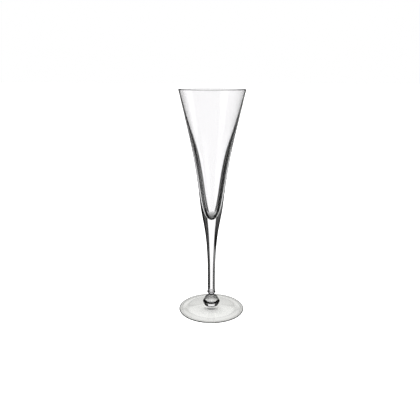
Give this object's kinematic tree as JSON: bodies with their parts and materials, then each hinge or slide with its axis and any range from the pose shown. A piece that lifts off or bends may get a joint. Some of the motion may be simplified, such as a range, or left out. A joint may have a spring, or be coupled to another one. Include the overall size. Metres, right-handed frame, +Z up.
{
  "type": "champagne flute",
  "caption": "Tall clear glass flute: slender trumpet bowl with a solid base, drawn stem, small collar and double-cone button on a wide round foot.",
  "frame": {"origin": "centre of the flat standing ring under the foot, on the resting plane", "axes": "+Z up along the axis of revolution, towards the mouth; +X and +Y any two square directions across it"},
  "size_m": [0.0756, 0.0756, 0.252],
  "materials": {
    "bowl": "clear colourless crystal, fire-polished lip",
    "stem": "clear colourless crystal, drawn smooth",
    "stem_collar": "clear colourless crystal, smooth",
    "button": "clear colourless crystal, smooth",
    "foot": "clear colourless crystal, lightly worn standing ring"
  },
  "bodies": {
    "root": {"bowl": "bowl", "stem": "stem", "stem_collar": "stem_collar", "button": "button", "foot": "foot"}
  },
  "joints": []
}
